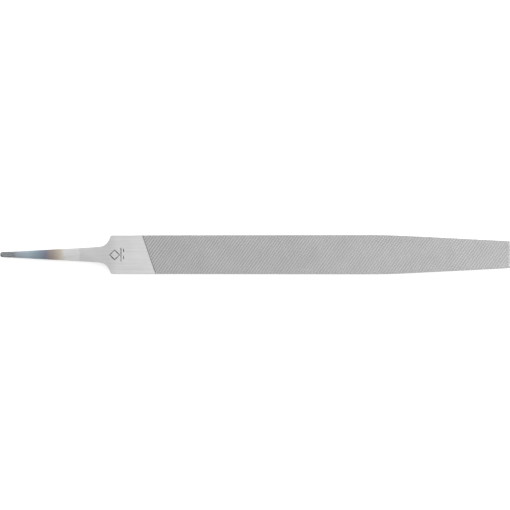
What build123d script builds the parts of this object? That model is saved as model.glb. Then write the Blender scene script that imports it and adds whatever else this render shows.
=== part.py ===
from build123d import *
import os

# Flat file with a bare tang, of the 200 mm (8 in) nominal size.
#
# The real file is one forged bar. It is written as its three zones, which differ in shape, finish
# and hardness: the soft tapered tang, the smooth ground heel with its shoulders, and the hardened
# body that carries the teeth. The zones meet on planes square to the bar and share one section
# there. The body is the envelope of the tooth crests: the gaps between the teeth lie below it.
#
# Row frame, in millimetres: +X runs from the tang's end to the point, +Y across the width and +Z
# through the thickness. The file lies on its lower face, with the origin below its middle.
# Stations are distances along the file from the tang's end.

# Stations
FULL_LENGTH = 260.0
TANG_NECK_STATION = 7.0    # the tang's nearly parallel end runs into its straight taper
TANG_STATION = 50.0        # the shoulder starts to sweep out of the tang
TANG_ROOT_STATION = 54.2  # the tang's side and the shoulder's slope would meet here
SHOULDER_STATION = 56.65   # the bar reaches its full width and thickness
BODY_STATION = 70.0        # the cut body starts, just short of the first tooth
TAPER_STATION = 197.8      # the straight sides and the tapered sides would meet here

# Full widths at those stations
TANG_END_WIDTH = 2.75
TANG_NECK_WIDTH = 3.16
TANG_ROOT_WIDTH = 8.34
HEEL_WIDTH = 19.64
BODY_WIDTH = 20.0
POINT_WIDTH = 13.7

# Full thicknesses
TANG_END_THICKNESS = 2.5
TANG_ROOT_THICKNESS = 4.4
BODY_THICKNESS = 5.0
POINT_THICKNESS = 3.6

# Radii of the outline seen from above
TANG_END_RADIUS = 1.2
TANG_NECK_RADIUS = 40.0
SHOULDER_ROOT_RADIUS = 6.0
SHOULDER_CORNER_RADIUS = 0.8
SIDE_TAPER_RADIUS = 400.0
POINT_CORNER_RADIUS = 0.5

# Radii of the profile seen from the side
THICKNESS_BLEND_RADIUS = 12.0
FACE_TAPER_RADIUS = 900.0
POINT_EDGE_RADIUS = 0.3


def plan_prism():
    """The outline seen from above, as a prism taller than the file is thick."""
    half = FilletPolyline(
        (0, 0),
        (0, TANG_END_WIDTH / 2),
        (TANG_NECK_STATION, TANG_NECK_WIDTH / 2),
        (TANG_ROOT_STATION, TANG_ROOT_WIDTH / 2),
        (SHOULDER_STATION, HEEL_WIDTH / 2),
        (TAPER_STATION, BODY_WIDTH / 2),
        (FULL_LENGTH, POINT_WIDTH / 2),
        (FULL_LENGTH, 0),
        radius=[
            TANG_END_RADIUS,
            TANG_NECK_RADIUS,
            SHOULDER_ROOT_RADIUS,
            SHOULDER_CORNER_RADIUS,
            SIDE_TAPER_RADIUS,
            POINT_CORNER_RADIUS,
        ],
    )
    outline = make_face([half, mirror(half, about=Plane.XZ)])
    return extrude(outline, amount=BODY_THICKNESS, both=True)


def side_prism():
    """The profile seen from the side, as a prism deeper than the file is wide."""
    half = FilletPolyline(
        (0, 0, TANG_END_THICKNESS / 2),
        (TANG_STATION, 0, TANG_ROOT_THICKNESS / 2),
        (SHOULDER_STATION, 0, BODY_THICKNESS / 2),
        (TAPER_STATION, 0, BODY_THICKNESS / 2),
        (FULL_LENGTH, 0, POINT_THICKNESS / 2),
        (FULL_LENGTH, 0, 0),
        radius=[
            THICKNESS_BLEND_RADIUS,
            THICKNESS_BLEND_RADIUS,
            FACE_TAPER_RADIUS,
            POINT_EDGE_RADIUS,
        ],
    )
    tang_end = Line((0, 0, -TANG_END_THICKNESS / 2), (0, 0, TANG_END_THICKNESS / 2))
    profile = make_face([tang_end, half, mirror(half, about=Plane.XY)])
    return extrude(profile, amount=BODY_WIDTH, dir=(0, 1, 0), both=True)


def forged_bar():
    """The whole bar about its own mid-plane. Its long corners are sharp, as the teeth need."""
    return plan_prism() & side_prism()


def zone(bar, start, end):
    """The stretch of the bar between two stations, placed in the row frame."""
    slab = Pos((start + end) / 2, 0, 0) * Box(end - start, 2 * BODY_WIDTH, 2 * BODY_THICKNESS)
    return Pos(-FULL_LENGTH / 2, 0, BODY_THICKNESS / 2) * (bar & slab)


def main():
    os.makedirs("parts", exist_ok=True)
    bar = forged_bar()
    export_step(zone(bar, 0, TANG_STATION), "parts/tang.step")
    export_step(zone(bar, TANG_STATION, BODY_STATION), "parts/heel.step")
    export_step(zone(bar, BODY_STATION, FULL_LENGTH), "parts/cut_body.step")


main()
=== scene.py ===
import math
import random
from bisect import bisect_left

import bmesh
import bpy
import numpy as np
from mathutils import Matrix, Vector, noise
from mathutils.bvhtree import BVHTree


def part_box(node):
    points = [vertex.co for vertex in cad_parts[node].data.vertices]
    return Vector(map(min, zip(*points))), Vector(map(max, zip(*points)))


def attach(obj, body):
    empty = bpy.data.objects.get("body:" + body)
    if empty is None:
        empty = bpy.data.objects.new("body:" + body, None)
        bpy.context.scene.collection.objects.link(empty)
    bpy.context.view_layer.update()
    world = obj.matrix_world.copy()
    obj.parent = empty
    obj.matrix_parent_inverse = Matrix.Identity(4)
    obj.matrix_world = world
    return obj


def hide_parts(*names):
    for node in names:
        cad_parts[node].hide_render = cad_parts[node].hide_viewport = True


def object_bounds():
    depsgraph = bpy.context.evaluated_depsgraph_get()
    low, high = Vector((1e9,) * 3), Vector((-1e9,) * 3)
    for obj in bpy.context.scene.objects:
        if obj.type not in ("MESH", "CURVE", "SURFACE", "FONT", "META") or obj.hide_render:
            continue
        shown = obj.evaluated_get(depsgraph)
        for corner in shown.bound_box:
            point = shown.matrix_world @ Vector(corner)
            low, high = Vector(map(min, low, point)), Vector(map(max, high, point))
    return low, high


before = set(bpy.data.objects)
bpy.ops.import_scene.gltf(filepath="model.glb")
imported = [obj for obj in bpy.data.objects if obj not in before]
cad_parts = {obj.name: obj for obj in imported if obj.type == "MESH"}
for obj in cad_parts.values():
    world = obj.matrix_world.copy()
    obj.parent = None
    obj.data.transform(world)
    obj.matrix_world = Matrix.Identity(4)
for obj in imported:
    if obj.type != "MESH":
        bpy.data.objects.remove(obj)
cad_low, cad_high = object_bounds()

# A flat file lying on its lower face: +X towards the point, +Z up. Its three zones are rebuilt round
# the section of the CAD bar, with real teeth, broken corners and a punched mark.
# The shape functions work in millimetres, and pieces are scaled to metres when they are made.
MM = 0.001

TANG_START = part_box("tang")[0][0] / MM
HEEL_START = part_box("heel")[0][0] / MM
BODY_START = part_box("cut_body")[0][0] / MM
POINT_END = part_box("cut_body")[1][0] / MM
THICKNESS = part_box("cut_body")[1][2] / MM
MID_HEIGHT = THICKNESS / 2


# ---------------------------------------------------------------- the bar's section, from the CAD

READING_STEP = 0.05
OFF_EDGE = 0.013  # keeps a ray off the mesh edges that lie on the planes of symmetry
OFF_END = 1e-6  # share of a node's length that keeps the end readings off its end faces
OUTSIDE = 9 * THICKNESS  # where the rays start, well clear of the bar


def read_bar():
    """Stations along the bar, with the half width and the top height of the CAD nodes at each."""
    stations, widths, tops = [], [], []
    for name in ("tang", "heel", "cut_body"):
        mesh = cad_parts[name].data
        points = [vertex.co / MM for vertex in mesh.vertices]
        tree = BVHTree.FromPolygons(points, [polygon.vertices for polygon in mesh.polygons])
        low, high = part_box(name)[0][0] / MM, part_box(name)[1][0] / MM
        count = round((high - low) / READING_STEP)
        for k in range(count + 1):
            x = low + (high - low) * min(max(k / count, OFF_END), 1 - OFF_END)
            beside = tree.ray_cast((x, OUTSIDE, MID_HEIGHT + OFF_EDGE), (0, -1, 0))[0]
            above = tree.ray_cast((x, OFF_EDGE, OUTSIDE), (0, 0, -1))[0]
            stations.append(x)
            widths.append(beside.y)
            tops.append(above.z)
    return np.array(stations), np.array(widths), np.array(tops)


STATIONS, HALF_WIDTHS, TOPS = read_bar()


def half_width(x):
    return float(np.interp(x, STATIONS, HALF_WIDTHS))


def top_height(x):
    return float(np.interp(x, STATIONS, TOPS))


def ease(value, low, high):
    """0 below low, 1 above high, and a smooth step between."""
    t = min(max((value - low) / (high - low), 0.0), 1.0)
    return t * t * (3 - 2 * t)


# ---------------------------------------------------------------- making pieces


def make_piece(name, node, points, faces, material, smooth, values=None):
    """A closed mesh that stands for a node, with its material and its named values at the points."""
    mesh = bpy.data.meshes.new(name)
    mesh.from_pydata([Vector(point) * MM for point in points], [], faces)
    for title, numbers in (values or {}).items():
        layer = mesh.attributes.new(title, "FLOAT", "POINT")
        layer.data.foreach_set("value", numbers)
    shaped = bmesh.new()
    shaped.from_mesh(mesh)
    bmesh.ops.recalc_face_normals(shaped, faces=shaped.faces)
    for face in shaped.faces:
        face.smooth = smooth and len(face.verts) == 4
    shaped.to_mesh(mesh)
    shaped.free()
    piece = bpy.data.objects.new(name, mesh)
    bpy.context.scene.collection.objects.link(piece)
    mesh.materials.append(material)
    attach(piece, "root")
    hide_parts(node)


# ---------------------------------------------------------------- tang and heel: lofted sections

CORNER_STEPS = 5
CORNER_SHARE = 0.9  # the most that a corner takes of half the section
END_STRIP = 0.01  # a narrow last strip keeps the shading of an end face off the ones beside it
BROKEN_CORNER = 0.15  # how far the bar's long corners are taken off, along the heel and the body


def section(x, corner, counts, tip_round=0.0, flatness=0.0):
    """Points of the bar's section at x, with broken corners, and the outward normal at each.

    The counts are the spans along the upper face, the -Y side, the lower face and the +Y side.
    The corners are rounded at flatness 0 and cut straight across at flatness 1.
    """
    across = half_width(x)
    through = top_height(x) - MID_HEIGHT
    if tip_round:
        left = tip_round - min(x - TANG_START, tip_round)
        through -= tip_round - math.sqrt(tip_round**2 - left**2)
    corner = min(corner, across * CORNER_SHARE, through * CORNER_SHARE)
    ring = []
    for side, count in enumerate(counts):
        angle = math.radians(90 + 90 * side)
        outward = Vector((0, math.cos(angle), math.sin(angle)))
        along = Vector((0, -math.sin(angle), math.cos(angle)))
        reach = through if side % 2 == 0 else across
        half = (across if side % 2 == 0 else through) - corner
        for k in range(count):
            offset = half * (2 * k / count - 1)
            ring.append((outward * reach + along * offset, outward))
        centre = outward * (reach - corner) + along * half
        for k in range(CORNER_STEPS):
            turn = math.radians(90) * k / CORNER_STEPS
            normal = outward * math.cos(turn) + along * math.sin(turn)
            chord = math.cos(math.radians(45)) / math.cos(turn - math.radians(45))
            ring.append((centre + normal * corner * (1 + flatness * (chord - 1)), normal))
    lift = Vector((x, 0, MID_HEIGHT))
    return [(lift + point, normal) for point, normal in ring]


def loft(sections):
    """Faces that join equal sections, with a cap at each end."""
    count = len(sections[0])
    faces = []
    for s in range(len(sections) - 1):
        for k in range(count):
            after = (k + 1) % count
            faces.append((s * count + k, s * count + after, (s + 1) * count + after, (s + 1) * count + k))
    faces.append(tuple(range(count)))
    faces.append(tuple(range((len(sections) - 1) * count, len(sections) * count)))
    return faces


def spaced(start, end, step):
    """Stations from start on, and short of end."""
    count = max(1, round((end - start) / step))
    return [start + (end - start) * k / count for k in range(count)]


# ---------------------------------------------------------------- the punched mark on the heel

MARK_DEPTH = 0.12
MARK_STROKE = 0.23  # half the width of a stroke
MARK_WALL = (0.6, 1.4)  # shares of that half width between which its sloping wall lies
MARK_DETAIL = 0.065  # the size of the faces there
MARK_MARGIN = 0.5  # how far those small faces reach past the mark
LOZENGE_CENTRE = (HEEL_START + 8.5, -0.2)
LOZENGE_REACH = 2.5
DASH_LENGTH = 1.2
DASH_COLUMNS = {3.2: (2.6, 0.8, -1.0, -2.8), 4.5: (2.0, -1.4)}  # distance from the lozenge: heights
STRUCK, STRUCK_SPREAD, STRUCK_LENGTH = 0.8, 0.6, 1.5  # the punch was struck unevenly


def mark_strength(x, y):
    """The share of its depth that the generic mark, a lozenge beside plain dashes, has here."""
    east, north = x - LOZENGE_CENTRE[0], y - LOZENGE_CENTRE[1]
    nearest = abs(abs(east) + abs(north) - LOZENGE_REACH) / math.sqrt(2)
    for column, heights in DASH_COLUMNS.items():
        for height in heights:
            beyond = max(abs(y - height) - DASH_LENGTH / 2, 0)
            nearest = min(nearest, math.hypot(east - column, beyond))
    struck = STRUCK + STRUCK_SPREAD * noise.noise(Vector((x, y, 0)) / STRUCK_LENGTH)
    wall_start, wall_end = MARK_WALL
    return struck * (1 - ease(nearest, MARK_STROKE * wall_start, MARK_STROKE * wall_end))


# ---------------------------------------------------------------- tang and heel

TANG_CORNER = 0.05  # how much more is taken off the tang's corners
TIP_ROUND = 0.9
TIP_LENGTH, TIP_STEPS = 1.6, 14
TANG_CROWN = 0.14  # how much lower the tang's faces are at their edges than along their middle
SCALED_LENGTH = 8.2  # the stretch of the tang's tip that keeps its forging scale
SCALED_DETAIL, TANG_DETAIL = 0.12, 0.3
TANG_SPANS = (34, 22, 34, 22)
TANG_WAVES = (0.035, 4.0)  # depth and length
TANG_GRAIN = (0.03, 0.3)
PIT_DEPTH, PIT_LENGTH = 0.10, 0.55
HEEL_DETAIL = 0.25
HEEL_SIDE_SPANS, HEEL_LOWER_SPANS = 14, 60
HEEL_WAVE_DEPTH, HEEL_WAVE_LENGTH = 0.012, 5.0


def corner_radius(x):
    return BROKEN_CORNER + TANG_CORNER * (1 - ease(x, HEEL_START - 12, HEEL_START + 1))


def rolling(point, depth, length):
    """A relief between 0 and the depth, in waves of about this length."""
    return depth * (1 + noise.noise(point / length)) / 2


def tang_relief(point, normal):
    """How far the forged and ground surface of the tang lies below its true section."""
    fade = 1 - ease(point.x, HEEL_START - 5, HEEL_START)
    crown = TANG_CROWN * min(abs(point.y) / half_width(point.x), 1) ** 2
    waves = rolling(point, *TANG_WAVES)
    pits = PIT_DEPTH * max(noise.noise(point / PIT_LENGTH), 0)
    roughness = rolling(point, *TANG_GRAIN)
    scaled = 1 - ease(point.x, TANG_START + SCALED_LENGTH - 2, TANG_START + SCALED_LENGTH + 0.5)
    facing = 0.3 + 0.7 * abs(normal.z)  # the sides are smoother than the faces
    return fade * facing * (crown + waves + scaled * (pits + roughness))


def build_tang(material):
    tip_end, scale_end = TANG_START + TIP_LENGTH, TANG_START + SCALED_LENGTH + 1
    turns = [math.radians(90) * k / TIP_STEPS for k in range(TIP_STEPS)]
    along = [TANG_START + TIP_LENGTH * (1 - math.cos(turn)) for turn in turns]
    along += spaced(tip_end, scale_end, SCALED_DETAIL)
    along += spaced(scale_end, HEEL_START - END_STRIP, TANG_DETAIL)
    along += [HEEL_START - END_STRIP, HEEL_START]
    rings = [section(x, corner_radius(x), TANG_SPANS, tip_round=TIP_ROUND) for x in along]
    points = [point - normal * tang_relief(point, normal) for ring in rings for point, normal in ring]
    make_piece("tang_bar", "tang", points, loft(rings), material, True)


def heel_section(x):
    """A section of the heel, whose corners turn flat towards the body, to meet its flat ones."""
    upper_spans = round(2 * max(HALF_WIDTHS) / MARK_DETAIL)
    spans = (upper_spans, HEEL_SIDE_SPANS, HEEL_LOWER_SPANS, HEEL_SIDE_SPANS)
    return section(x, corner_radius(x), spans, flatness=ease(x, BODY_START - 4, BODY_START - 0.5))


def build_heel(material):
    marked = (
        LOZENGE_CENTRE[0] - LOZENGE_REACH - MARK_MARGIN,
        LOZENGE_CENTRE[0] + max(DASH_COLUMNS) + MARK_MARGIN,
    )
    along = [HEEL_START] + spaced(HEEL_START + END_STRIP, marked[0], HEEL_DETAIL)
    along += spaced(*marked, MARK_DETAIL)
    along += spaced(marked[1], BODY_START - END_STRIP, HEEL_DETAIL)
    along += [BODY_START - END_STRIP, BODY_START]
    rings = [heel_section(x) for x in along]
    points, marks = [], []
    for point, normal in (entry for ring in rings for entry in ring):
        mark = mark_strength(point.x, point.y) * max(normal.z, 0)
        settled = ease(point.x, HEEL_START, HEEL_START + 2) * (1 - ease(point.x, BODY_START - 2, BODY_START))
        waves = rolling(point, HEEL_WAVE_DEPTH * settled, HEEL_WAVE_LENGTH)
        points.append(point - normal * (waves + MARK_DEPTH * mark))
        marks.append(mark)
    values = {"mark": marks}
    make_piece("heel_bar", "heel", points, loft(rings), material, True, values)


# ---------------------------------------------------------------- cut body: the crossed chisel cuts

FIRST_TOOTH = BODY_START + 2.42  # on the +Y side, where the slanted first cut is nearest the heel
FIRST_DROP = 0.22  # from the smooth face down to the bottom of the first cut
SMOOTH_REACH = 12.0  # the smooth strip behind the first cut, long enough to pass the body's start
WIDEST = max(HALF_WIDTHS) + 0.5
OVERRUN = 1.0  # how far the cuts run on past the sides, before the face is trimmed
PITCH_SPREAD, DEPTH_SPREAD, BURR_SHARE = 0.04, 0.10, 0.08  # how uneven the teeth are
WOBBLE, WOBBLE_LENGTH = 0.06, 7.0
CLOSE = 1e-3
CUT_TOLERANCE, WELD_DISTANCE = 1e-5, 1e-4


class Cuts:
    """One family of parallel chisel cuts. An offset is where a cut crosses the bar's middle line."""

    # Along one tooth, towards the point: the valley, a hollow rise and the crest, before a steep drop
    PROFILE = ((0.0, -1.0), (0.45, -0.64), (0.80, 0.0))

    def __init__(self, angle, pitch, depth):
        self.lean = -1 / math.tan(math.radians(angle))
        self.pitch = pitch
        self.depth = depth

    def breaks(self, start, end, rng):
        """Offsets of the creases between start and end, and the surface's height at each."""
        offsets, heights = [], []
        at = start
        while at < end:
            tooth = self.pitch * rng.uniform(1 - PITCH_SPREAD, 1 + PITCH_SPREAD)
            depth = self.depth * rng.uniform(1 - DEPTH_SPREAD, 1.0)
            burr = -self.depth * rng.uniform(0.0, BURR_SHARE)
            for part, level in self.PROFILE:
                offsets.append(at + part * tooth)
                heights.append(level * depth if level else burr)
            at += tooth
        return offsets, heights


UNDERCUT = Cuts(54, 1.55, 0.36)
OVERCUT = Cuts(-71, 1.07, 0.26)
FIRST_DEPTH = 1.05 * max(UNDERCUT.depth, OVERCUT.depth)  # the first cut is below all the others
FACE_START = FIRST_TOOTH + OVERCUT.lean * half_width(FIRST_TOOTH)  # the first cut's offset


def crossed(first, second):
    """Where an undercut and an overcut of these offsets cross, seen from above."""
    y = (second - first) / (OVERCUT.lean - UNDERCUT.lean)
    return first - UNDERCUT.lean * y, y


class Lattice:
    """The face between the crossed cuts: the lower of two families of teeth, creased where they meet."""

    def __init__(self, rng):
        margin = half_width(FIRST_TOOTH) + OVERRUN
        last = POINT_END + OVERCUT.lean * margin
        overcut, heights = OVERCUT.breaks(FACE_START + FIRST_DROP, last, rng)
        self.second = [FACE_START - SMOOTH_REACH, FACE_START] + overcut
        self.second_heights = [0.0, 0.0, -FIRST_DEPTH] + heights[1:]
        reach = -UNDERCUT.lean * margin
        self.first, self.first_heights = UNDERCUT.breaks(BODY_START - reach, POINT_END + reach, rng)
        self.points, self.index = [], {}
        self.shift = rng.uniform(0, 100)  # gives each face a wander of its own

    def place(self, first, second, height):
        """The point where two offsets cross, with the slight wander of the chisel."""
        x, y = crossed(first, second)
        x += WOBBLE * noise.noise(Vector((x, y, self.shift)) / WOBBLE_LENGTH)
        return Vector((x, y, top_height(x) + height))

    def corner(self, i, j):
        if (i, j) not in self.index:
            height = 0.0 if j < 2 else min(self.first_heights[i], self.second_heights[j])
            self.index[i, j] = len(self.points)
            self.points.append(self.place(self.first[i], self.second[j], height))
        return self.index[i, j]

    def lead(self, i, j):
        """How far the first family stands above the second at a corner."""
        return self.first_heights[i] - self.second_heights[j]

    def crossing(self, a, b):
        """The point on a lattice edge where both families are equally high."""
        key = (min(a, b), max(a, b))
        if key not in self.index:
            (i, j), (k, m) = key
            share = self.lead(i, j) / (self.lead(i, j) - self.lead(k, m))
            first = self.first[i] + share * (self.first[k] - self.first[i])
            second = self.second[j] + share * (self.second[m] - self.second[j])
            height = self.first_heights[i] if i == k else self.second_heights[j]
            self.index[key] = len(self.points)
            self.points.append(self.place(first, second, height))
        return self.index[key]

    def cell(self, i, j):
        """The one or two flat facets of a lattice cell."""
        corners = [(i, j), (i + 1, j), (i + 1, j + 1), (i, j + 1)]
        if j < 2:
            return [[self.corner(*corner) for corner in corners]]
        outline, folds = [], []
        for a, b in zip(corners, corners[1:] + corners[:1]):
            outline.append(self.corner(*a))
            if (self.lead(*a) > 0) != (self.lead(*b) > 0):
                folds.append(len(outline))
                outline.append(self.crossing(a, b))
        if len(folds) != 2:
            return [outline]
        start, end = folds
        return [outline[start : end + 1], outline[end:] + outline[: start + 1]]

    def touches_body(self, i, j):
        """Whether a cell reaches over the rectangle round the body."""
        corners = [crossed(self.first[k], self.second[m]) for k in (i, i + 1) for m in (j, j + 1)]
        xs, ys = [x for x, y in corners], [y for x, y in corners]
        along = max(xs) > BODY_START - WOBBLE and min(xs) < POINT_END + WOBBLE
        return along and max(ys) > -WIDEST and min(ys) < WIDEST

    def faces(self):
        """The facets of all the cells that reach over the body."""
        found = []
        reach = WIDEST * (OVERCUT.lean - UNDERCUT.lean)
        for j in range(len(self.second) - 1):
            low = bisect_left(self.first, self.second[j] - reach)
            high = bisect_left(self.first, self.second[j + 1] + reach)
            for i in range(max(low - 1, 0), min(high, len(self.first) - 1)):
                if self.touches_body(i, j):
                    found.extend(self.cell(i, j))
        return found


OUTLINE_TOLERANCE = 0.01


def simplified(points, tolerance):
    """The points that a polyline needs to stay within the tolerance of all of them."""
    first, last = Vector(points[0]), Vector(points[-1])
    run = last - first
    gaps = [abs(run.cross(Vector(point) - first)) / run.length for point in points[1:-1]]
    if not gaps or max(gaps) <= tolerance:
        return [points[0], points[-1]]
    split = gaps.index(max(gaps)) + 1
    return simplified(points[: split + 1], tolerance)[:-1] + simplified(points[split:], tolerance)


def side_outline():
    """The +Y side of the body seen from above, from its start to its point."""
    known = [(x, width) for x, width in zip(STATIONS, HALF_WIDTHS) if x > BODY_START]
    return simplified([(BODY_START, known[0][1])] + known, OUTLINE_TOLERANCE)


def trimmed_face(rng):
    """The toothed face as a mesh, cut back to the body's outline less its broken corner."""
    lattice = Lattice(rng)
    faces = lattice.faces()
    mesh = bpy.data.meshes.new("face")
    mesh.from_pydata(lattice.points, [], faces)
    shaped = bmesh.new()
    shaped.from_mesh(mesh)
    bpy.data.meshes.remove(mesh)
    planes = [((BODY_START, 0, 0), (-1, 0, 0)), ((POINT_END - BROKEN_CORNER, 0, 0), (1, 0, 0))]
    outline = side_outline()
    for (x, y), (next_x, next_y) in zip(outline, outline[1:]):
        outward = Vector((y - next_y, next_x - x, 0)).normalized()
        for side in (1, -1):
            normal = Vector((outward.x, outward.y * side, 0))
            planes.append((Vector((x, y * side, 0)) - normal * BROKEN_CORNER, normal))
    for point, normal in planes:
        bmesh.ops.bisect_plane(
            shaped,
            geom=shaped.verts[:] + shaped.edges[:] + shaped.faces[:],
            dist=CUT_TOLERANCE,
            plane_co=point,
            plane_no=normal,
            clear_outer=True,
        )
    bmesh.ops.remove_doubles(shaped, verts=shaped.verts, dist=WELD_DISTANCE)
    bmesh.ops.delete(shaped, geom=[v for v in shaped.verts if not v.link_faces], context="VERTS")
    shaped.verts.index_update()
    return shaped


# ---------------------------------------------------------------- cut body: sides and assembly

TOOTHED_BEVEL = 0.25  # how much deeper the broken corner is along the teeth, to pass below them
POINT_CORNER = 0.5
EDGE_CUT_START, EDGE_CUT_END = BODY_START + 4.0, POINT_END - 3.0
EDGE_CUT_PITCH, EDGE_CUT_DEPTH, EDGE_CUT_SPREAD = 1.1, 0.2, 0.05
EDGE_CUT_SLANT = 0.95  # how far an edge cut runs forward from mid-height to the face
BEVEL_DETAIL, SIDE_DETAIL = 0.2, 1.0
END_POINTS = 9
# The worn share also lifts the painted shade between the crests of the teeth at the point
WORN_LENGTH, WORN_END, WORN_SHARE = 1.6, 0.4, 0.7  # the teeth at the point are rubbed bright


def side_height(x, side):
    """Height of the body's widest outline, a broken corner away from the upper (1) or lower (-1) face."""
    bevel = BROKEN_CORNER + TOOTHED_BEVEL * ease(x, BODY_START, FIRST_TOOTH)
    return MID_HEIGHT + side * (top_height(x) - MID_HEIGHT - bevel)


def point_stations():
    """Stations round the small corner at the point."""
    turns = [math.radians(15 * k) for k in range(7)]
    return [POINT_END - POINT_CORNER + POINT_CORNER * math.sin(turn) for turn in turns]


def cut_side(side):
    """The single-cut +Y side at one height: stations, and how deep the cuts bite there."""
    found = [(x, 0.0) for x in spaced(BODY_START, FIRST_TOOTH, BEVEL_DETAIL)] + [(FIRST_TOOTH, 0.0)]
    rng = random.Random(11)
    at = EDGE_CUT_START
    while at < EDGE_CUT_END:
        tooth = EDGE_CUT_PITCH * rng.uniform(1 - EDGE_CUT_SPREAD, 1 + EDGE_CUT_SPREAD)
        for part, level in Cuts.PROFILE:
            found.append((at + part * tooth + side * EDGE_CUT_SLANT, -level * EDGE_CUT_DEPTH))
        at += tooth
    found.append((at + side * EDGE_CUT_SLANT, 0.0))
    return found + [(x, 0.0) for x in point_stations()]


def side_loop(side):
    """The body's widest outline near one face, from the start of its +Y side and round the point."""
    loop = [(x, half_width(x) - bite) for x, bite in cut_side(side)]
    corner = half_width(POINT_END)
    loop += [(POINT_END, y) for y in np.linspace(corner, -corner, END_POINTS)[1:-1]]
    smooth_side = spaced(BODY_START, FIRST_TOOTH, BEVEL_DETAIL)
    smooth_side += spaced(FIRST_TOOTH, POINT_END - POINT_CORNER, SIDE_DETAIL)
    smooth_side += point_stations()
    loop += [(x, -half_width(x)) for x in reversed(smooth_side)]
    start = half_width(BODY_START)
    loop += [(BODY_START, y) for y in np.linspace(-start, start, END_POINTS)[1:-1]]
    return [Vector((x, y, side_height(x, side))) for x, y in loop]


def border_loop(shaped):
    """The open border of a face, in order."""
    following = {}
    for edge in shaped.edges:
        if edge.is_boundary:
            loop = edge.link_loops[0]
            following[loop.vert] = loop.link_loop_next.vert
    order = [next(iter(following))]
    while following[order[-1]] is not order[0]:
        order.append(following[order[-1]])
    return [vertex.index for vertex in order]


def aligned(loop, points):
    """The loop of point numbers, from the +Y corner of the body's start and first towards the point."""
    at_start = [k for k, n in enumerate(loop) if points[n].x < BODY_START + CLOSE]
    corner = max(at_start, key=lambda k: points[loop[k]].y)
    loop = loop[corner:] + loop[:corner]
    if points[loop[1]].x < BODY_START + CLOSE:
        loop = loop[:1] + loop[:0:-1]
    return loop


def laps(points):
    """How far round the body's outline each point of a loop lies, never less than the one before."""
    length = POINT_END - BODY_START
    corner = half_width(POINT_END)
    found, furthest = [], 0.0
    for point in points[1:]:
        if point.x > POINT_END - BROKEN_CORNER - CLOSE and abs(point.y) < corner:
            lap = length + corner - point.y
        elif point.x < BODY_START + CLOSE:
            lap = 2 * length + 2 * corner + half_width(BODY_START) + point.y
        elif point.y > 0:
            lap = point.x - BODY_START
        else:
            lap = length + 2 * corner + POINT_END - point.x
        furthest = max(furthest, lap)
        found.append(furthest)
    return [0.0] + found + [furthest + 1]


def zipped(upper, upper_laps, lower, lower_laps):
    """Triangles that close the band between two loops of point numbers."""
    upper, lower = upper + upper[:1], lower + lower[:1]
    a, b = 0, 0
    found = []
    while a < len(upper) - 1 or b < len(lower) - 1:
        upper_left, lower_left = a < len(upper) - 1, b < len(lower) - 1
        if upper_left and (not lower_left or upper_laps[a + 1] <= lower_laps[b + 1]):
            found.append((upper[a], lower[b], upper[a + 1]))
            a += 1
        else:
            found.append((upper[a], lower[b], lower[b + 1]))
            b += 1
    return found


def joined(upper, lower):
    """Faces that join two loops of as many points, one to one."""
    after = [k + 1 for k in range(len(upper) - 1)] + [0]
    return [(upper[k], lower[k], lower[after[k]], upper[after[k]]) for k in range(len(upper))]


def turned_over(point):
    """Where a point of the upper face goes when the bar is rolled over: both faces are cut alike."""
    return Vector((point.x, -point.y, THICKNESS - point.z))


def tooth_values(points, face_points):
    """For each point, whether it is on a tooth, and from 0 to 1 how near the crests it stands."""
    cut, crest = [], []
    for k, point in enumerate(points):
        if k < face_points:
            flat = point if point.z > MID_HEIGHT else turned_over(point)
            toothed = flat.x + OVERCUT.lean * flat.y > FACE_START + FIRST_DROP / 2
            below = (top_height(flat.x) - flat.z) / UNDERCUT.depth
        else:
            toothed = point.y > 0 and EDGE_CUT_START - 1 < point.x < EDGE_CUT_END + 1
            below = (half_width(point.x) - abs(point.y)) / EDGE_CUT_DEPTH
        cut.append(float(toothed))
        worn = WORN_SHARE * ease(point.x, POINT_END - WORN_LENGTH, POINT_END - WORN_END)
        # The crest value sets the painted highlight on the crests and the painted shade between them, and
        # the worn share lifts that shade
        crest.append(max(1 - ease(below, 0, 1), worn))
    return {"cut": cut, "crest": crest}


def build_body(material):
    points, faces, borders = [], [], []
    for seed, place in ((3, Vector), (7, turned_over)):
        shaped = trimmed_face(random.Random(seed))
        base = len(points)
        points += [place(vertex.co) for vertex in shaped.verts]
        faces += [[base + vertex.index for vertex in face.verts] for face in shaped.faces]
        borders.append(aligned([base + n for n in border_loop(shaped)], points))
        shaped.free()
    face_points = len(points)
    walls = []
    for side in (1, -1):
        loop = side_loop(side)
        walls.append(list(range(len(points), len(points) + len(loop))))
        points += loop
    for border, wall in zip(borders, walls):
        border_laps = laps([points[n] for n in border])
        wall_laps = laps([points[n] for n in wall])
        faces += zipped(border, border_laps, wall, wall_laps)
    faces += joined(*walls)
    values = tooth_values(points, face_points)
    make_piece("cut_body_bar", "cut_body", points, faces, material, False, values)


# ---------------------------------------------------------------- materials


def feed(tree, socket, value):
    """Links a socket to another node's output, or sets it to a value."""
    if isinstance(value, bpy.types.NodeSocket):
        tree.links.new(value, socket)
    else:
        socket.default_value = value


def add(tree, kind, **inputs):
    """A node, with its inputs fed by name."""
    made = tree.nodes.new(kind)
    for title, value in inputs.items():
        feed(tree, made.inputs[title.replace("_", " ")], value)
    return made


def attribute(tree, title):
    """A named value of the mesh's points."""
    made = tree.nodes.new("ShaderNodeAttribute")
    made.attribute_name = title
    return made.outputs["Fac"]


def maths(tree, operation, a, b):
    """A Math node on two values or sockets."""
    made = tree.nodes.new("ShaderNodeMath")
    made.operation = operation
    for socket, value in zip(made.inputs, (a, b)):
        feed(tree, socket, value)
    return made.outputs[0]


def remapped(tree, value, low, high, new_low, new_high):
    """A value whose range from low to high becomes the new one. It stays within it."""
    ranges = {"From_Min": low, "From_Max": high, "To_Min": new_low, "To_Max": new_high}
    return add(tree, "ShaderNodeMapRange", Value=value, **ranges).outputs["Result"]


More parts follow.
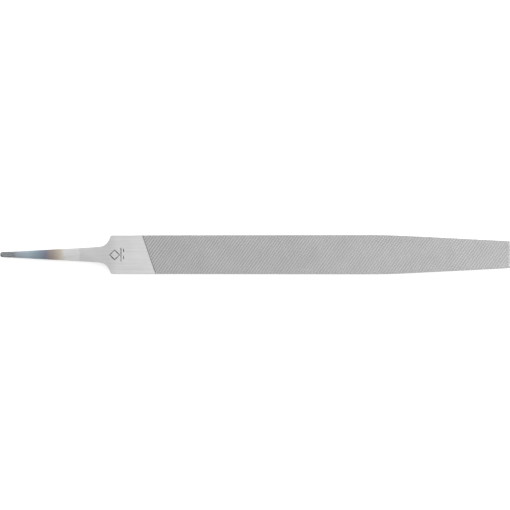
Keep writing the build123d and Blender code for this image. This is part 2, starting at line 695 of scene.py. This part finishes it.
COLOUR_MIX_INPUTS, COLOUR_MIX_OUTPUT = (0, 6, 7), 2  # a Mix node has sockets of other types too


def mixed(tree, factor, a, b, mode="MIX"):
    """Two colours mixed by a factor."""
    made = tree.nodes.new("ShaderNodeMix")
    made.data_type, made.blend_type = "RGBA", mode
    for number, value in zip(COLOUR_MIX_INPUTS, (factor, a, b)):
        feed(tree, made.inputs[number], value)
    return made.outputs[COLOUR_MIX_OUTPUT]


def multiplied(tree, a, b):
    return mixed(tree, 1.0, a, b, "MULTIPLY")


def grain(tree, across, along, detail=3.0, place=0.0):
    """Noise from 0 to 1, with features of these sizes in millimetres, across the bar and along it."""
    on_bar = add(tree, "ShaderNodeTexCoord").outputs["Object"]
    scale = (1 / (along * MM), 1 / (across * MM), 1 / (across * MM))
    moved = add(tree, "ShaderNodeMapping", Vector=on_bar, Scale=scale, Location=(place, place, place))
    made = add(tree, "ShaderNodeTexNoise", Vector=moved.outputs[0], Scale=1.0, Detail=detail)
    return made.outputs["Fac"]


def ramp(tree, value, stops):
    """A colour ramp through (position, colour) stops."""
    made = add(tree, "ShaderNodeValToRGB", Fac=value)
    elements = made.color_ramp.elements
    for element in elements[1:]:
        elements.remove(element)
    elements[0].position = stops[0][0]
    elements[0].color = (*stops[0][1], 1)
    for position, colour in stops[1:]:
        elements.new(position).color = (*colour, 1)
    return made.outputs["Color"]


def grey(level):
    return (level, level, level)


def steel(name):
    """An empty steel material: its node tree and its shader."""
    material = bpy.data.materials.new(name)
    material.use_nodes = True
    tree = material.node_tree
    shader = tree.nodes["Principled BSDF"]
    shader.inputs["Metallic"].default_value = 1.0
    return material, tree, shader


def finish_steel(tree, shader, colour, roughness, relief, strength, distance):
    """Links a steel's colour, its roughness and its bump, whose distance is in millimetres."""
    bump = add(tree, "ShaderNodeBump", Strength=strength, Distance=distance * MM, Height=relief)
    tree.links.new(colour, shader.inputs["Base Color"])
    tree.links.new(roughness, shader.inputs["Roughness"])
    tree.links.new(bump.outputs["Normal"], shader.inputs["Normal"])


def shade(red, green=None, blue=None):
    """The linear colour of a display colour given by levels from 0 to 255."""
    levels = (red, red if green is None else green, red if blue is None else blue)
    return tuple(((level / 255 + 0.055) / 1.055) ** 2.4 for level in levels)


def along_bar(tree, stops, wander=0.0):
    """A colour ramp along the bar. Its stops are in millimetres from the tang's tip, and may wander."""
    on_bar = add(tree, "ShaderNodeTexCoord").outputs["Object"]
    along = add(tree, "ShaderNodeSeparateXYZ", Vector=on_bar).outputs["X"]
    if wander:
        drift = maths(tree, "SUBTRACT", grain(tree, 2.5, 4.0), 0.5)
        along = maths(tree, "ADD", along, maths(tree, "MULTIPLY", drift, wander * MM))
    length = stops[-1][0]
    share = remapped(tree, along, TANG_START * MM, (TANG_START + length) * MM, 0.0, 1.0)
    return ramp(tree, share, [(station / length, colour) for station, colour in stops])


# Bare steel, from the ground tang over the duller shoulders to the bright heel
BARE_COLOURS = [
    (33.5, shade(201)),
    (40.3, shade(202)),
    (40.8, shade(190)),
    (56.0, shade(191)),
    (60.0, shade(202)),
    (72.0, shade(207)),
]

# Heat colours towards the tang's tip, which keeps a dark scale
SCALE_GREY = shade(136, 140, 143)
VIOLET_GREY = shade(148, 153, 163)
PALE_BLUE = shade(149, 162, 170)
SLATE_BLUE = shade(131, 145, 155)
DARK_VIOLET = shade(119, 124, 138)
MAUVE = shade(137, 128, 130)
DARK_STRAW = shade(152, 142, 136)
PALE_STRAW = shade(187, 179, 167)
HEAT_COLOURS = [
    (7.0, SCALE_GREY),
    (9.0, VIOLET_GREY),
    (14.0, PALE_BLUE),
    (19.0, SLATE_BLUE),
    (23.5, DARK_VIOLET),
    (24.8, MAUVE),
    (27.0, DARK_STRAW),
    (31.0, PALE_STRAW),
]


def ground_texture(tree, base):
    """A steel colour ground lengthways: fine streaks, a few broader ones and faint clouds."""
    fine = remapped(tree, grain(tree, 0.10, 14.0), 0.3, 0.7, 0.93, 1.05)
    broad = remapped(tree, grain(tree, 0.8, 40.0, 2.0, 5.0), 0.3, 0.7, 0.96, 1.04)
    cloud = remapped(tree, grain(tree, 6.0, 9.0, 3.0, 9.0), 0.3, 0.7, 0.97, 1.03)
    level = maths(tree, "MULTIPLY", maths(tree, "MULTIPLY", fine, broad), cloud)
    tone = add(tree, "ShaderNodeCombineColor", Red=level, Green=level, Blue=level).outputs[0]
    return multiplied(tree, base, tone)


def ground_roughness(tree):
    return remapped(tree, grain(tree, 0.3, 20.0, 3.0, 2.0), 0.3, 0.7, 0.38, 0.46)


def ground_relief(tree):
    return grain(tree, 0.07, 12.0, 4.0)


STEEL_BUMP = (0.25, 0.02)  # strength, and distance in millimetres
MARK_COLOUR = (0.02, 0.02, 0.02, 1)


def ground_steel():
    """The heel: bright, ground lengthways, with a dark bottom to its punched mark."""
    material, tree, shader = steel("ground_steel")
    bare = ground_texture(tree, along_bar(tree, BARE_COLOURS))
    colour = mixed(tree, attribute(tree, "mark"), bare, MARK_COLOUR)
    finish_steel(tree, shader, colour, ground_roughness(tree), ground_relief(tree), *STEEL_BUMP)
    return material


SCALED_STOPS = [
    (0, grey(1)),
    (SCALED_LENGTH - 1, grey(1)),
    (SCALED_LENGTH + 1, grey(0)),
    (50, grey(0)),
]
SCALE_ROUGHNESS = 0.2


def tang_steel():
    """The tang: ground steel with heat colours towards its tip, which keeps a rough dark scale."""
    material, tree, shader = steel("tang_steel")
    ground = ground_texture(tree, along_bar(tree, HEAT_COLOURS + BARE_COLOURS, 2.5))
    scaled = along_bar(tree, SCALED_STOPS, 3)
    mottle = ramp(tree, grain(tree, 0.9, 0.9, 5.0), [(0.35, grey(0.68)), (0.65, grey(1.30))])
    colour = mixed(tree, scaled, ground, multiplied(tree, ground, mottle))
    rougher = maths(tree, "MULTIPLY", scaled, SCALE_ROUGHNESS)
    rough = maths(tree, "ADD", ground_roughness(tree), rougher)
    finish_steel(tree, shader, colour, rough, ground_relief(tree), *STEEL_BUMP)
    return material


# Teeth, a little brighter towards the point
TOOTH_COLOURS = [(72.0, shade(183)), (160.0, shade(187)), (260.0, shade(193))]
# Painted highlight: the colour that the crests of the teeth turn to
CREST_HIGHLIGHT = (*shade(222), 1)
# Painted shade: the share of the tooth colour that is left deep between the crests
VALLEY_SHADE = grey(0.74)


def tooth_colour(tree):
    """Matt grey, with a painted highlight on the crests and painted shade between them, with a speckle and
    faint clouds.
    """
    crest = attribute(tree, "crest")
    # painted shade between the crests
    valley = ramp(tree, crest, [(0.0, VALLEY_SHADE), (0.6, grey(1.0))])
    flank = multiplied(tree, along_bar(tree, TOOTH_COLOURS), valley)
    # painted highlight on the crests
    highlighted = mixed(tree, remapped(tree, crest, 0.75, 1.0, 0.0, 1.0), flank, CREST_HIGHLIGHT)
    speckle = ramp(tree, grain(tree, 0.25, 0.25, 4.0), [(0.3, grey(0.86)), (0.7, grey(1.12))])
    cloud = ramp(tree, grain(tree, 9.0, 14.0, 3.0, 4.0), [(0.3, grey(0.96)), (0.7, grey(1.03))])
    return multiplied(tree, multiplied(tree, highlighted, speckle), cloud)


def chosen(tree, share, one, other):
    """One number where the share is 1, and the other where it is 0."""
    rest = maths(tree, "SUBTRACT", 1.0, share)
    return maths(tree, "ADD", maths(tree, "MULTIPLY", share, one), maths(tree, "MULTIPLY", rest, other))


def cut_steel():
    """The body: toothed steel, and ground steel where it has no teeth."""
    material, tree, shader = steel("cut_steel")
    cut = attribute(tree, "cut")
    bare = ground_texture(tree, along_bar(tree, BARE_COLOURS))
    colour = mixed(tree, cut, bare, tooth_colour(tree))
    tooth_roughness = remapped(tree, grain(tree, 0.5, 0.5, 3.0, 2.0), 0.3, 0.7, 0.40, 0.55)
    rough = chosen(tree, cut, tooth_roughness, ground_roughness(tree))
    relief = chosen(tree, cut, grain(tree, 0.12, 0.12, 3.0), ground_relief(tree))
    finish_steel(tree, shader, colour, rough, relief, *STEEL_BUMP)
    return material


FLOOR_GLOW = 0.42


def floor_paper():
    """Pale, matt paper with a faint fibre, lit from below too, as on a light table."""
    material = bpy.data.materials.new("floor_paper")
    material.use_nodes = True
    tree = material.node_tree
    shader = tree.nodes["Principled BSDF"]
    fibre = ramp(tree, grain(tree, 1.5, 1.5, 4.0), [(0.3, grey(0.90)), (0.7, grey(0.93))])
    tree.links.new(fibre, shader.inputs["Base Color"])
    shader.inputs["Roughness"].default_value = 0.9
    shader.inputs["Specular IOR Level"].default_value = 0.2
    shader.inputs["Emission Color"].default_value = (1, 1, 1, 1)
    shader.inputs["Emission Strength"].default_value = FLOOR_GLOW
    return material


# ---------------------------------------------------------------- floor, light and camera

FLOOR_REACH, FLOOR_DROP = 4.0, 0.00005  # metres
LENS, SENSOR = 135.0, 36.0
FRAME_WIDTH = 1.0006 * (cad_high[0] - cad_low[0])  # at mid-height: the file just fits the picture
CAMERA_ASIDE = (-0.00006, -0.0002)  # metres from the middle of the file


def build_floor():
    """A large round floor just under the file. The steel mirrors the darker world below it instead."""
    shaped = bmesh.new()
    bmesh.ops.create_circle(shaped, cap_ends=True, segments=96, radius=FLOOR_REACH)
    mesh = bpy.data.meshes.new("floor")
    shaped.to_mesh(mesh)
    shaped.free()
    floor = bpy.data.objects.new("floor", mesh)
    floor.location.z = -FLOOR_DROP
    bpy.context.scene.collection.objects.link(floor)
    mesh.materials.append(floor_paper())
    floor.visible_glossy = False


def soft_light(name, place, size, power):
    """A square softbox aimed at the middle of the file."""
    light = bpy.data.lights.new(name, "AREA")
    light.shape, light.size, light.energy = "SQUARE", size, power
    lamp = bpy.data.objects.new(name, light)
    lamp.location = place
    lamp.rotation_mode = "QUATERNION"
    lamp.rotation_quaternion = (-Vector(place)).to_track_quat("-Z", "Y")
    bpy.context.scene.collection.objects.link(lamp)


def build_world():
    """A pale surround, brighter overhead and on the +Y side, and plain white to the camera."""
    world = bpy.data.worlds.new("studio")
    bpy.context.scene.world = world
    world.use_nodes = True
    tree = world.node_tree
    direction = add(tree, "ShaderNodeTexCoord").outputs["Generated"]
    parts = add(tree, "ShaderNodeSeparateXYZ", Vector=direction)
    upwards = ramp(
        tree,
        remapped(tree, parts.outputs["Z"], -1.0, 1.0, 0.0, 1.0),
        [(0.0, grey(0.62)), (0.5, grey(0.48)), (1.0, grey(0.95))],
    )
    northwards = remapped(tree, parts.outputs["Y"], -1.0, 1.0, 0.75, 1.25)
    level = maths(tree, "MULTIPLY", upwards, northwards)
    seen = add(tree, "ShaderNodeLightPath").outputs["Is Camera Ray"]
    colour = mixed(tree, seen, level, (1, 1, 1, 1))
    tree.links.new(colour, tree.nodes["Background"].inputs["Color"])


def build_camera():
    """Straight above the file, with its whole length across the picture."""
    data = bpy.data.cameras.new("camera")
    data.lens, data.sensor_width = LENS, SENSOR
    camera = bpy.data.objects.new("camera", data)
    height = FRAME_WIDTH * LENS / SENSOR
    camera.location = (*CAMERA_ASIDE, MID_HEIGHT * MM + height)
    bpy.context.scene.collection.objects.link(camera)
    bpy.context.scene.camera = camera


build_tang(tang_steel())
build_heel(ground_steel())
build_body(cut_steel())
build_floor()
build_world()
soft_light("key_light", (-0.32, 0.95, 0.9), 1.6, 7)
soft_light("point_light", (0.6, 0.05, 0.5), 0.6, 2.4)
build_camera()
bpy.context.scene.view_settings.view_transform = "Standard"
